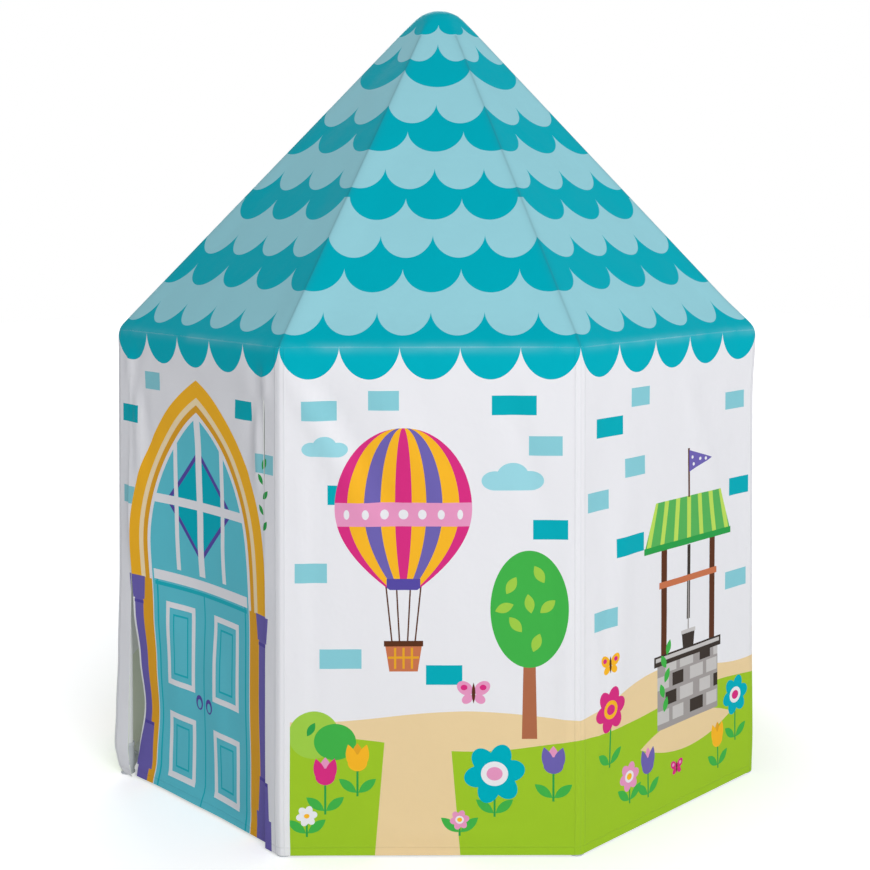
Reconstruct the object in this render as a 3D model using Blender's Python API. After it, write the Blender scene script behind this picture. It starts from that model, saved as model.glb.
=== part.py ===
"""An eight-sided play tent: a printed vinyl cover over a frame of plastic tubes.

Metres, +Z up. The origin is on the floor under the middle of the tent, and the doorway faces -Y.
Walls, rafters and corners are numbered from the doorway, anticlockwise as seen from above.
"""
import math

import bmesh
import bpy
from mathutils import Matrix, Vector

# Outside of the cover
side_count = 8
width_across_flats = 1.040
eave_height = 0.732
roof_slope = math.radians(48.0)
skin_thickness = 0.0012
hem_clearance = 0.003

# The doorway: the strips of wall that stay above and beside it, and the flap that hangs in it
header_height = 0.077
side_strip_width = 0.0342
flap_side_gap = 0.0005
flap_hinge_gap = 0.0012
flap_floor_gap = 0.006
flap_billow = 0.014
flap_edge_draw = 0.007

# The cap that closes the roof over the hub, measured to its corners; a higher power is a fuller dome,
# and its crown is this far below the point where the ridges would meet
cap_rim_radius = 0.060
cap_crown_drop = 0.0295
cap_power_share = 3.4

# Frame tubes and the sockets that hold their ends
tube_radius = 0.008
tube_wall = 0.0012
tube_end_chamfer = 0.0004
tube_fit = 0.0003
socket_wall = 0.0027
socket_stop = 0.0145
socket_depth = 0.025
lead_in_depth = 0.0010
seam_gap = 0.0003
foot_lift = 0.0005
ball_inset = 0.0002

# The hub under the cap
hub_socket_start = 0.046
hub_socket_floor = 0.010
hub_body_radius = 0.032
hub_body_bottom_drop = 0.034
hub_air = 0.0010

# How finely round things are cut
tube_sides = 12
ball_rings = 8
hub_sides = 24
dome_steps = 6
flap_columns = 8
flap_rows = 12
smooth_angle = math.radians(40)

# Worked out from the sizes above
half_turn_share = math.pi / side_count
corner_share = 1 / math.cos(half_turn_share)
apothem = width_across_flats / 2
corner_radius = apothem * corner_share
half_wall_width = apothem * math.tan(half_turn_share)
ridge_rise = math.tan(roof_slope) / corner_share
ridge_apex_height = eave_height + apothem * math.tan(roof_slope)
total_height = ridge_apex_height - cap_crown_drop
doorway_height = eave_height - header_height
doorway_half_width = half_wall_width - side_strip_width

socket_bore = tube_radius + tube_fit
socket_radius = socket_bore + socket_wall
socket_end = socket_stop + socket_depth
axis_inset = skin_thickness + seam_gap + socket_radius

frame_apothem = apothem - axis_inset
frame_corner_radius = frame_apothem * corner_share
frame_apex_height = ridge_apex_height - axis_inset / math.cos(roof_slope)
frame_eave_height = frame_apex_height - frame_corner_radius * ridge_rise
frame_base_height = socket_radius + foot_lift
tube_start = socket_stop + tube_fit

door_plane = -(apothem - skin_thickness / 2)
up_direction = Vector((0, 0, 1))
frame_apex = Vector((0, 0, frame_apex_height))


def make_material(name, colour, roughness, metallic=0.0):
    material = bpy.data.materials.new(name)
    material.use_nodes = True
    shader = material.node_tree.nodes["Principled BSDF"]
    shader.inputs["Base Color"].default_value = (*colour, 1)
    shader.inputs["Roughness"].default_value = roughness
    shader.inputs["Metallic"].default_value = metallic
    return material


def link_object(name, mesh, material=None):
    obj = bpy.data.objects.new(name, mesh)
    bpy.context.collection.objects.link(obj)
    if material and not mesh.materials:
        mesh.materials.append(material)
    return obj


def mesh_from(bm, name, crease=None):
    """Makes the mesh of a bmesh; crease is the sharpest angle that is still shaded smooth."""
    mesh = bpy.data.meshes.new(name)
    bmesh.ops.recalc_face_normals(bm, faces=bm.faces)
    bm.to_mesh(mesh)
    bm.free()
    if crease is not None:
        mesh.shade_smooth()
        mesh.set_sharp_from_angle(angle=crease)
    return mesh


def corner_angle(index):
    """Direction of a corner seen from the middle; corner 0 is at the right of the doorway."""
    return -math.pi / 2 + half_turn_share * (2 * index + 1)


def around(radius, angle, height):
    return Vector((radius * math.cos(angle), radius * math.sin(angle), height))


def frame_to(direction, start):
    """A placement whose +Z runs along the direction, with a flat of the tube turned down."""
    axis = direction.normalized()
    side = axis.cross(Vector((0, 0, 1)))
    if side.length < tube_fit:
        side = Vector((math.cos(half_turn_share), math.sin(half_turn_share), 0))
    side.normalize()
    up = axis.cross(side)
    turn = Matrix((side, up, axis)).transposed().to_4x4()
    return Matrix.Translation(start) @ turn


def turned(bm, profile, steps, start_angle=0.0):
    """Spins a profile of (radius, height) pairs a full turn about Z."""
    verts = [bm.verts.new(around(radius, start_angle, height)) for radius, height in profile]
    edges = [bm.edges.new(pair) for pair in zip(verts, verts[1:])]
    bmesh.ops.spin(bm, geom=verts + edges, cent=(0, 0, 0), axis=(0, 0, 1), angle=math.tau,
                   steps=steps, use_merge=True)
    bmesh.ops.remove_doubles(bm, verts=bm.verts, dist=seam_gap / 10)


def socket_object(name, start, mouth):
    """A round bar from start to mouth, bored from the mouth for a tube, with a dished rim."""
    length = (mouth - start).length
    bm = bmesh.new()
    turned(bm, [(0, 0), (socket_radius, 0), (socket_radius, length), (socket_bore, length - lead_in_depth),
                (socket_bore, length - socket_depth), (0, length - socket_depth)], tube_sides,
           math.pi / tube_sides)
    bmesh.ops.transform(bm, matrix=frame_to(mouth - start, start), verts=bm.verts)
    return link_object(name, mesh_from(bm, name))


def united_mesh(name, solids):
    """Unites the solids and gives the finished mesh."""
    body = solids[0]
    for other in solids[1:]:
        boolean = body.modifiers.new("Union", "BOOLEAN")
        boolean.operation = "UNION"
        boolean.object = other
    bpy.context.view_layer.update()
    evaluated = body.evaluated_get(bpy.context.evaluated_depsgraph_get())
    mesh = bpy.data.meshes.new_from_object(evaluated)
    mesh.name = name
    mesh.shade_smooth()
    mesh.set_sharp_from_angle(angle=smooth_angle)
    for obj in solids:
        bpy.data.objects.remove(obj)
    return mesh


def tube_mesh(name, length):
    """A straight tube with open, chamfered ends, lying along +Z from its own origin."""
    bm = bmesh.new()
    half_facet = Matrix.Rotation(math.pi / tube_sides, 4, "Z")
    rings = []
    for radius, inset in ((tube_radius, tube_end_chamfer), (tube_radius - tube_wall, 0)):
        place = Matrix.Translation((0, 0, inset)) @ half_facet
        ring = bmesh.ops.create_circle(bm, segments=tube_sides, radius=radius, matrix=place)
        edges = list({edge for vert in ring["verts"] for edge in vert.link_edges})
        wall = bmesh.ops.extrude_edge_only(bm, edges=edges)["geom"]
        far_verts = [part for part in wall if isinstance(part, bmesh.types.BMVert)]
        bmesh.ops.translate(bm, verts=far_verts, vec=(0, 0, length - 2 * inset))
        far_edges = [part for part in wall if isinstance(part, bmesh.types.BMEdge)
                     and all(vert in far_verts for vert in part.verts)]
        rings.append((edges, far_edges))
    for end in (0, 1):
        bmesh.ops.bridge_loops(bm, edges=rings[0][end] + rings[1][end])
    return mesh_from(bm, name, smooth_angle)


def place_tube(name, mesh, material, start, direction):
    obj = link_object(name, mesh, material)
    obj.matrix_world = frame_to(direction, start)
    return obj


# The eave and base corners of the frame, on the centre lines of its tubes
def eave_corner(index):
    return around(frame_corner_radius, corner_angle(index), frame_eave_height)


def base_corner(index):
    return around(frame_corner_radius, corner_angle(index), frame_base_height)


def corner_connector_mesh(name, centre, directions, foot_height=0):
    """A moulded corner with one socket along each direction, round a ball or on a standing column."""
    if foot_height:
        foot = centre - up_direction * foot_height
        solids = [socket_object(name + "_column", foot, centre + up_direction * socket_end)]
    else:
        bm = bmesh.new()
        bmesh.ops.create_uvsphere(bm, u_segments=tube_sides, v_segments=ball_rings,
                                  radius=socket_radius - ball_inset, matrix=Matrix.Translation(centre))
        solids = [link_object(name + "_ball", mesh_from(bm, name))]
    for direction in directions:
        solids.append(socket_object(name + "_socket", centre, centre + direction * socket_end))
    return united_mesh(name, solids)


def to_neighbours(corner, index):
    """Unit vectors from a corner of the frame towards the corners on either side."""
    return [(corner(index + step) - corner(index)).normalized() for step in (-1, 1)]


def add_eave_connectors(material):
    """Four-way corners: two eave rails, the post below and the rafter above."""
    rafter = (frame_apex - eave_corner(0)).normalized()
    directions = [*to_neighbours(eave_corner, 0), -up_direction, rafter]
    mesh = corner_connector_mesh("eave_connector", eave_corner(0), directions)
    for index in range(side_count):
        obj = link_object(f"eave_connector_{index + 1}", mesh, material)
        obj.rotation_euler.z = 2 * half_turn_share * index


def add_base_connectors(material):
    """Three-way corners that stand on the floor; those beside the doorway hold one rail each."""
    back, ahead = to_neighbours(base_corner, 0)
    rails = {"full": [back, ahead], "door_right": [ahead], "door_left": [back]}
    meshes = {
        kind: corner_connector_mesh("base_connector_" + kind, base_corner(0), directions, frame_base_height)
        for kind, directions in rails.items()
    }
    for index in range(side_count):
        kind = {0: "door_right", side_count - 1: "door_left"}.get(index, "full")
        obj = link_object(f"base_connector_{index + 1}", meshes[kind], material)
        obj.rotation_euler.z = 2 * half_turn_share * index


def add_posts(material):
    length = frame_eave_height - frame_base_height - 2 * tube_start
    mesh = tube_mesh("post", length)
    for index in range(side_count):
        start = base_corner(index) + up_direction * tube_start
        place_tube(f"post_{index + 1}", mesh, material, start, up_direction)


def add_rails(name, corner, first, material):
    """Rails along the walls; wall n runs from corner n - 1 to corner n."""
    spacing = (corner(1) - corner(0)).length
    mesh = tube_mesh(name, spacing - 2 * tube_start)
    for count, wall in enumerate(range(first, side_count), start=1):
        direction = (corner(wall) - corner(wall - 1)).normalized()
        place_tube(f"{name}_{count}", mesh, material, corner(wall - 1) + direction * tube_start, direction)


def add_rafters(material):
    span = (frame_apex - eave_corner(0)).length
    mesh = tube_mesh("rafter", span - tube_start - hub_socket_start - hub_socket_floor - tube_fit)
    for index in range(side_count):
        direction = (frame_apex - eave_corner(index)).normalized()
        start = eave_corner(index) + direction * tube_start
        place_tube(f"rafter_{index + 1}", mesh, material, start, direction)


def cap_height(radius):
    """Height of the cap's outside at a corner radius, from the rim on the ridges up to its crown."""
    rim_height = ridge_apex_height - cap_rim_radius * ridge_rise
    return total_height - (total_height - rim_height) * (radius / cap_rim_radius) ** cap_power_share


def add_hub(material):
    """The moulded hub at the peak: a domed body with a socket for each rafter."""
    bm = bmesh.new()
    bottom = ridge_apex_height - hub_body_radius * ridge_rise - hub_body_bottom_drop + hub_air
    drop = skin_thickness + hub_air
    radii = [hub_body_radius * step / dome_steps for step in range(dome_steps + 1)]
    profile = [(radius, cap_height(radius * corner_share) - drop) for radius in radii]
    profile += [(hub_body_radius, bottom), (0, bottom)]
    turned(bm, profile, hub_sides)
    solids = [link_object("hub_body", mesh_from(bm, "hub_body"))]
    for index in range(side_count):
        down = (eave_corner(index) - frame_apex).normalized()
        start = frame_apex + down * hub_socket_start
        solids.append(socket_object("hub_socket", start, start + down * (hub_socket_floor + socket_depth)))
    link_object("top_hub", united_mesh("top_hub", solids), material)


def ridge_radius(height, depth):
    """Corner radius of the roof at a height, on a surface that lies depth inside the skin."""
    return (ridge_apex_height - depth / math.cos(roof_slope) - height) / ridge_rise


def add_roof_panels(material):
    """Flat gores, mitred along the ridges, which run from the eave to the rim of the cap."""
    rim_height = ridge_apex_height - cap_rim_radius * ridge_rise
    top_outer = rim_height - seam_gap * math.sin(roof_slope)
    top_inner = top_outer - skin_thickness * math.cos(roof_slope)
    for wall in range(side_count):
        middle = corner_angle(wall) - half_turn_share
        bm = bmesh.new()
        for depth, bottom, top in ((0, eave_height, top_outer), (skin_thickness, eave_height, top_inner)):
            for height in (bottom, top):
                out = ridge_radius(height, depth) / corner_share
                half = out * math.tan(half_turn_share) - seam_gap / 2 * corner_share
                for side in (-half, half):
                    place = Matrix.Rotation(middle, 4, "Z") @ Vector((out, side, height))
                    bm.verts.new(place)
        bmesh.ops.convex_hull(bm, input=bm.verts)
        link_object(f"roof_panel_{wall + 1}", mesh_from(bm, "roof_panel"), material)


def add_skin_thickness(obj, offset):
    solidify = obj.modifiers.new("Thickness", "SOLIDIFY")
    solidify.thickness = skin_thickness
    solidify.offset = offset
    solidify.use_even_offset = True


def add_roof_cap(material):
    """The closed top of the roof, eight-sided like the gores that it continues."""
    radii = [cap_rim_radius * step / dome_steps for step in range(dome_steps, -1, -1)]
    bm = bmesh.new()
    turned(bm, [(radius, cap_height(radius)) for radius in radii], side_count, corner_angle(0))
    obj = link_object("roof_cap", mesh_from(bm, "roof_cap"), material)
    add_skin_thickness(obj, -1)


def add_wall_skin(material):
    """The eight walls in one wrap, with the doorway cut up from the hem."""
    bm = bmesh.new()
    place = Matrix.Translation((0, 0, hem_clearance)) @ Matrix.Rotation(corner_angle(0), 4, "Z")
    bmesh.ops.create_circle(bm, segments=side_count, radius=corner_radius, matrix=place)
    edges = list(bm.edges)
    for height in (doorway_height, eave_height - seam_gap):
        geom = bmesh.ops.extrude_edge_only(bm, edges=edges)["geom"]
        verts = [part for part in geom if isinstance(part, bmesh.types.BMVert)]
        edges = [part for part in geom if isinstance(part, bmesh.types.BMEdge)
                 and all(vert in verts for vert in part.verts)]
        bmesh.ops.translate(bm, verts=verts, vec=(0, 0, height - verts[0].co.z))
    for side in (-1, 1):
        front = [face for face in bm.faces if face.calc_center_median().y < -apothem + skin_thickness]
        geom = front + list({part for face in front for part in [*face.verts, *face.edges]})
        bmesh.ops.bisect_plane(bm, geom=geom, plane_co=(side * doorway_half_width, 0, 0),
                               plane_no=(side, 0, 0), dist=seam_gap / 10)
    doorway = [face for face in bm.faces
               if face.calc_center_median().y < -apothem + skin_thickness
               and abs(face.calc_center_median().x) < doorway_half_width
               and face.calc_center_median().z < doorway_height]
    bmesh.ops.delete(bm, geom=doorway, context="FACES")
    obj = link_object("wall_skin", mesh_from(bm, "wall_skin"), material)
    add_skin_thickness(obj, -1)


def flap_point(across, down):
    """A point of the hanging flap from its hinge; across runs -1 to 1 and down runs 0 to 1."""
    bow = math.sin(math.pi * down ** 1.3)
    drawn_in = flap_edge_draw * bow
    half_width = doorway_half_width - flap_side_gap - drawn_in
    outward = flap_billow * bow * math.cos(math.pi / 2 * across)
    length = doorway_height - flap_hinge_gap - flap_floor_gap
    return Vector((across * half_width, -outward, -flap_hinge_gap - length * down))


def add_door_flap(material):
    """The door: one loose sheet that hangs from its top edge, bowed a little outwards."""
    bm = bmesh.new()
    bmesh.ops.create_grid(bm, x_segments=flap_columns, y_segments=flap_rows, size=1)
    for vert in bm.verts:
        vert.co = flap_point(vert.co.x, (1 - vert.co.y) / 2)
    mesh = mesh_from(bm, "door_flap", smooth_angle)
    obj = link_object("door_flap", mesh, material)
    obj.location = (0, door_plane, doorway_height)
    add_skin_thickness(obj, 0)


def build():
    for obj in list(bpy.data.objects):
        bpy.data.objects.remove(obj)
    tube_plastic = make_material("frame_tube_plastic", (0.78, 0.79, 0.80), 0.42)
    connector_plastic = make_material("connector_plastic", (0.60, 0.62, 0.64), 0.45)
    roof_vinyl = make_material("roof_vinyl", (0.02, 0.42, 0.50), 0.38)
    wall_vinyl = make_material("wall_vinyl", (0.80, 0.80, 0.82), 0.38)
    door_vinyl = make_material("door_vinyl", (0.10, 0.36, 0.45), 0.38)
    add_hub(connector_plastic)
    add_eave_connectors(connector_plastic)
    add_base_connectors(connector_plastic)
    add_posts(tube_plastic)
    add_rails("eave_rail", eave_corner, 0, tube_plastic)
    add_rails("base_rail", base_corner, 1, tube_plastic)
    add_rafters(tube_plastic)
    add_roof_panels(roof_vinyl)
    add_roof_cap(roof_vinyl)
    add_wall_skin(wall_vinyl)
    add_door_flap(door_vinyl)


build()
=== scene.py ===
"""Dresses the play tent: a printed vinyl cover, drawn as it hangs, over a moulded tube frame.

Metres, +Z up, the doorway faces -Y. Wall 0 holds the doorway, and the walls run on anticlockwise
seen from above; corner n is at the far end of wall n.
"""
from math import copysign, cos, exp, pi, radians, sin, tan, tau

import bmesh
import bpy
from mathutils import Matrix, Vector, noise


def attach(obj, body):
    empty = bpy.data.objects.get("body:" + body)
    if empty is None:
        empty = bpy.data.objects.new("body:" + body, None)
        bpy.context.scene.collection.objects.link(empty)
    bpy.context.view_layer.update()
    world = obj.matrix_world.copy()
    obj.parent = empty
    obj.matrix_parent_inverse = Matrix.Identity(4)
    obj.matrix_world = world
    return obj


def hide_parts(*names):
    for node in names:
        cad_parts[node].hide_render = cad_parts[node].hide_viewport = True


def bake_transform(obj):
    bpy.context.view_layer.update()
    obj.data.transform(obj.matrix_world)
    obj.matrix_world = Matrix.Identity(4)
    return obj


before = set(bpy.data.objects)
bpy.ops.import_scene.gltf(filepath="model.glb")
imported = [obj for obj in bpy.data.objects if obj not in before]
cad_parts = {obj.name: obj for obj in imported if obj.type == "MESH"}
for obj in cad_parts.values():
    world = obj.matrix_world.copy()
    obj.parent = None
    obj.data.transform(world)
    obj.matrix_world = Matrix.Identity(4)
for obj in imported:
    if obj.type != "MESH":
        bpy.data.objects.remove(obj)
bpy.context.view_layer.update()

# Sizes that the cover shares with the solids
sides = 8
half_turn = pi / sides
apothem = 0.520
eave = 0.732
slope = radians(48.0)
hem = 0.003
crown = 1.280
hinge_height = 0.655
slit_out = 0.18119
tan_half = tan(half_turn)
half_wall = apothem * tan_half
ridge_apex = eave + apothem * tan(slope)
sheet_thickness = 0.0006

# How the sheet bends: over the rail along a wall, over the elbows at a corner, and round the posts
slope_turn = pi / 2 - slope
rail_fold = 0.009
elbow_fold = 0.033
elbow_reach = 0.055
post_bend = 0.012
ridge_bend = 0.008
dome_radius = 0.038
shoulder = 0.0012


def linear(hex_colour):
    """An sRGB hex colour as the linear colour that a shader takes."""
    channels = [int(hex_colour[i:i + 2], 16) / 255 for i in (1, 3, 5)]
    return (*[c / 12.92 if c <= 0.04045 else ((c + 0.055) / 1.055) ** 2.4 for c in channels], 1.0)


def smooth(low, high, value):
    share = min(max((value - low) / (high - low), 0.0), 1.0)
    return share * share * (3 - 2 * share)


def between(table, place):
    """Reads a smooth curve at a place in metres, through rising (place, value) pairs in millimetres."""
    place *= 1000
    if place <= table[0][0]:
        return table[0][1] / 1000
    for (low, start), (high, end) in zip(table, table[1:]):
        if place <= high:
            return (start + (end - start) * smooth(low, high, place)) / 1000
    return table[-1][1] / 1000


def feed(node, feeds):
    """Feeds a node's inputs with values or links, in order or by key."""
    for key, value in feeds.items() if isinstance(feeds, dict) else enumerate(feeds):
        if isinstance(value, bpy.types.NodeSocket):
            node.id_data.links.new(value, node.inputs[key])
        else:
            node.inputs[key].default_value = value


def add(tree, kind, feeds=(), out=0, **settings):
    """Adds one node with its settings and links, and gives one output. A kind in capitals is what a
    Math node does."""
    if kind.isupper():
        kind, settings = "Math", {"operation": kind}
    node = tree.nodes.new(kind if kind.startswith("NodeGroup") else "ShaderNode" + kind)
    for name, value in settings.items():
        setattr(node, name, value)
    feed(node, feeds)
    return node.outputs[out] if node.outputs else None


def placed_object(name, data, spot=(0, 0, 0), look=None):
    """Puts an object into the scene; a camera or lamp looks in a direction."""
    obj = bpy.data.objects.new(name, data)
    bpy.context.scene.collection.objects.link(obj)
    obj.location = spot
    if look:
        obj.rotation_euler = look.to_track_quat("-Z", "Y").to_euler()
    return obj


# The print's stencils
stencils = {}


def open_stencil(name, *labels):
    """A new node group with its inputs and one mask as output."""
    tree = bpy.data.node_groups.new(name, "ShaderNodeTree")
    for label in ("Across", "Up", *labels):
        tree.interface.new_socket(name=label, in_out="INPUT", socket_type="NodeSocketFloat")
    tree.interface.new_socket(name="Mask", in_out="OUTPUT", socket_type="NodeSocketFloat")
    return tree, add(tree, "NodeGroupInput").node.outputs


def open_shape(name):
    """A stencil for a shape in a square of its own, from -1 to 1 both ways. Near and high are across
    and up without their signs."""
    tree, (across, up, _) = open_stencil(name)
    near = add(tree, "ABSOLUTE", [across])
    high = add(tree, "ABSOLUTE", [up])
    return tree, across, up, near, high


def close_stencil(tree, edge, limit=1.0):
    """Ends a stencil: its mask is 1 where edge is under limit."""
    add(tree, "NodeGroupOutput", [add(tree, "LESS_THAN", [edge, limit])])
    stencils[tree.name] = tree


def make_stencils():
    tree, _, _, near, high = open_shape("disc")
    square = add(tree, "MULTIPLY", [high, high])
    edge = add(tree, "MULTIPLY_ADD", [near, near, square])
    close_stencil(tree, edge)

    tree, _, _, near, high = open_shape("box")
    edge = add(tree, "MAXIMUM", [near, high])
    close_stencil(tree, edge)

    # A lens whose points lie left and right
    tree, _, _, near, high = open_shape("leaf")
    edge = add(tree, "MULTIPLY_ADD", [near, near, high])
    close_stencil(tree, edge)

    # A triangle with its point up
    tree, _, up, near, high = open_shape("wedge")
    flank = add(tree, "MULTIPLY_ADD", [up, 0.5, near])
    foot = add(tree, "MULTIPLY", [high, 0.5])
    edge = add(tree, "MAXIMUM", [flank, foot])
    close_stencil(tree, edge, 0.5)

    # A board that is three quarters as wide at its top
    tree, _, up, near, high = open_shape("taper")
    drawn_in = add(tree, "MULTIPLY_ADD", [up, 0.125, 0.125])
    flank = add(tree, "ADD", [near, drawn_in])
    edge = add(tree, "MAXIMUM", [flank, high])
    close_stencil(tree, edge)

    # A balloon: half a disc on top, drawn in below to a fifth of its width
    tree, _, up, near, high = open_shape("balloon")
    square = add(tree, "MULTIPLY", [high, high])
    rest = add(tree, "SUBTRACT", [1.0, square])
    above = add(tree, "POWER", [rest, 0.5])
    below = add(tree, "MULTIPLY_ADD", [square, -0.80, 1.0])
    upper = add(tree, "GREATER_THAN", [up, 0.0])
    width = add(tree, "Mix", {0: upper, 2: below, 3: above})
    inside = add(tree, "LESS_THAN", [square, 1.0])
    limit = add(tree, "MULTIPLY", [width, inside])
    close_stencil(tree, near, limit)

    # Six round petals
    tree, across, up, near, high = open_shape("daisy")
    turn = add(tree, "ARCTAN2", [up, across])
    thrice = add(tree, "MULTIPLY", [turn, 3.0])
    wave = add(tree, "COSINE", [thrice])
    lobe = add(tree, "ABSOLUTE", [wave])
    reach = add(tree, "MULTIPLY_ADD", [lobe, 0.30, 0.70])
    square = add(tree, "MULTIPLY", [high, high])
    both = add(tree, "MULTIPLY_ADD", [near, near, square])
    edge = add(tree, "POWER", [both, 0.5])
    close_stencil(tree, edge, reach)

    # Above a row of scallops, which are round at the foot and meet in cusps
    tree, (across, up, pitch, shift, foot, depth, _) = open_stencil(
        "scallops", "Pitch", "Shift", "Foot", "Depth")
    moved = add(tree, "ADD", [across, shift])
    half = add(tree, "MULTIPLY", [pitch, 0.5])
    away = add(tree, "PINGPONG", [moved, half])
    share = add(tree, "DIVIDE", [away, half])
    square = add(tree, "MULTIPLY", [share, share])
    rest = add(tree, "SUBTRACT", [1.0, square])
    drop = add(tree, "POWER", [rest, 0.56])
    climb = add(tree, "SUBTRACT", [1.0, drop])
    border = add(tree, "MULTIPLY_ADD", [climb, depth, foot])
    close_stencil(tree, border, up)


make_stencils()

# The printing inks, each as it looks in plain light; among them, shade is painted shade and the pure
# white after it is a painted highlight
inks = {
    "white": "#E9E8EB", "teal": "#00ACBC", "ice": "#99D3DD", "brick teal": "#07A9B6",
    "brick pale": "#88C9D3", "sand": "#EACFA0", "grass": "#9DC42C", "tree": "#43B04A",
    "leaf": "#9FCB49", "fern": "#2E9D4B", "trunk": "#AE6A4B", "gold": "#F6B62B",
    "ochre": "#E3A32B", "cream": "#F6DFB4", "purple": "#6E63AD", "indigo": "#574BA0",
    "magenta": "#D6317F", "pink": "#E596BE", "charcoal": "#3C342F", "grey": "#A19B99",
    "ash": "#C6C2C0", "brown": "#C7744F", "umber": "#5B3422", "lime": "#BCDB5E",
    "green": "#58B05A", "aqua": "#60C2D1", "lagoon": "#1FB0BE", "shade": "#3B4C5A",
    "painted_highlight": "#FFFFFF", "wall back": "#E3E4E1", "grass back": "#D5DEC0", "roof back": "#CFE2E4",
}


class Print:
    """The print on a sheet, in millimetres: each call lays one ink over those before it."""

    def __init__(self, tree, paper):
        self.tree = tree
        place = add(tree, "UVMap", uv_map="print")
        self.across, self.up, _ = add(tree, "SeparateXYZ", [place]).node.outputs
        self.colour = linear(inks[paper])

    def lay(self, ink, mask):
        colours = {0: mask, 6: self.colour, 7: linear(inks[ink])}
        self.colour = add(self.tree, "Mix", colours, data_type="RGBA", out=2)

    def along(self, across, up, size, turn):
        """How far a point lies from (across, up) in a turned direction, as a share of size."""
        step_across = cos(turn) / size
        step_up = sin(turn) / size
        offset = -across * step_across - up * step_up
        start = add(self.tree, "MULTIPLY_ADD", [self.across, step_across, offset])
        return add(self.tree, "MULTIPLY_ADD", [self.up, step_up, start])

    def stamp(self, ink, shape, across, up, half_width, half_height, turn=0, within=None):
        """One shape, turned anticlockwise in degrees, and kept within another shape's mask."""
        centre = (across / 1000, up / 1000)
        beside = self.along(*centre, half_width / 1000, radians(turn))
        above = self.along(*centre, half_height / 1000, radians(turn + 90))
        mask = add(self.tree, "Group", [beside, above], node_tree=stencils[shape])
        if within:
            mask = add(self.tree, "MULTIPLY", [mask, within])
        self.lay(ink, mask)
        return mask

    def stamps(self, across, up, rows, within=None):
        """Stamps from a table of ink, shape, place from (across, up), half sizes and turn."""
        for ink, shape, shift, rise, *size in rows:
            self.stamp(ink, shape, across + shift, up + rise, *size, within=within)

    def scallop_row(self, ink, width, shift, foot, depth):
        """Everything above a row of scallops."""
        feeds = [self.across, self.up, width / 1000, shift / 1000, foot / 1000, depth / 1000]
        self.lay(ink, add(self.tree, "Group", feeds, node_tree=stencils["scallops"]))

    def hill(self, ink, edge, middle, lean):
        """Everything below a hill line, given where it meets the corners and the wall's middle."""
        turn = add(self.tree, "MULTIPLY", [self.across, pi / half_wall])
        swell = add(self.tree, "COSINE", [turn])
        sway = add(self.tree, "SINE", [turn])
        half_rise = (middle - edge) / 2000
        mean = (middle + edge) / 2000
        line = add(self.tree, "MULTIPLY_ADD", [swell, half_rise, mean])
        line = add(self.tree, "MULTIPLY_ADD", [sway, lean / 1000, line])
        self.lay(ink, add(self.tree, "LESS_THAN", [self.up, line]))


# Motifs of the print, placed by the point they grow from or hang round

def bricks(sheet, pale, teal):
    """Bricks in two inks, each given by its middle and half its width."""
    for ink, places in (("brick pale", pale), ("brick teal", teal)):
        for across, up, half_width in places:
            sheet.stamp(ink, "box", across, up, half_width, 14)


def stem(sheet, across, up, height):
    """A stalk with two leaves."""
    sheet.stamp("fern", "box", across, up + height / 2, 1.5, height / 2)
    for side in (-1, 1):
        sheet.stamp("tree", "leaf", across + 14 * side, up + 15, 16, 6.5, 38 * side)


def tulips(sheet, *plants):
    """Each by its foot, height, ink and tip's ink."""
    for across, up, height, ink, tip in plants:
        stem(sheet, across, up, height)
        sheet.stamps(across, up + height, [
            (tip, "leaf", 0, 17, 19, 9, 90), (ink, "leaf", -8, 15, 20, 8, 106),
            (ink, "leaf", 8, 15, 20, 8, 74), (ink, "disc", 0, 8, 14, 12)])


def daisies(sheet, *plants):
    """Each by its foot, height, size and three inks."""
    for across, up, height, size, petals, ring, middle in plants:
        stem(sheet, across, up, height)
        sheet.stamps(across, up + height, [
            (petals, "daisy", 0, 0, size, size, 10), (ring, "disc", 0, 0, size * 0.44, size * 0.40),
            (middle, "disc", 0, 0, size * 0.26, size * 0.22)])


def butterfly(sheet, across, up, size, wing, spot):
    for side in (-size, size):
        sheet.stamps(across, up, [
            (wing, "disc", side * 0.62, size * 0.35, size * 0.62, size * 0.45, 35 * side / size),
            (wing, "disc", side * 0.45, size * -0.42, size * 0.42, size * 0.32, -35 * side / size),
            (spot, "disc", side * 0.68, size * 0.40, size * 0.24, size * 0.20)])
    sheet.stamp("umber", "leaf", across, up, size * 0.75, size * 0.13, 90)


def leaves(sheet, across, up, ink, half_width, half_height, places):
    """Leaves of one size, each given by its place from (across, up) and its turn."""
    for shift, rise, turn in places:
        sheet.stamp(ink, "leaf", across + shift, up + rise, half_width, half_height, turn)


def cloud(sheet, across, up, size):
    for shape, *place in (("disc", -0.55, 0, 0.42, 0.30), ("disc", 0, 0.14, 0.5, 0.42),
                          ("disc", 0.55, 0, 0.42, 0.30), ("box", 0, -0.17, 0.60, 0.13)):
        sheet.stamps(across, up, [("ice", shape, *[size * number for number in place])])


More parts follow.
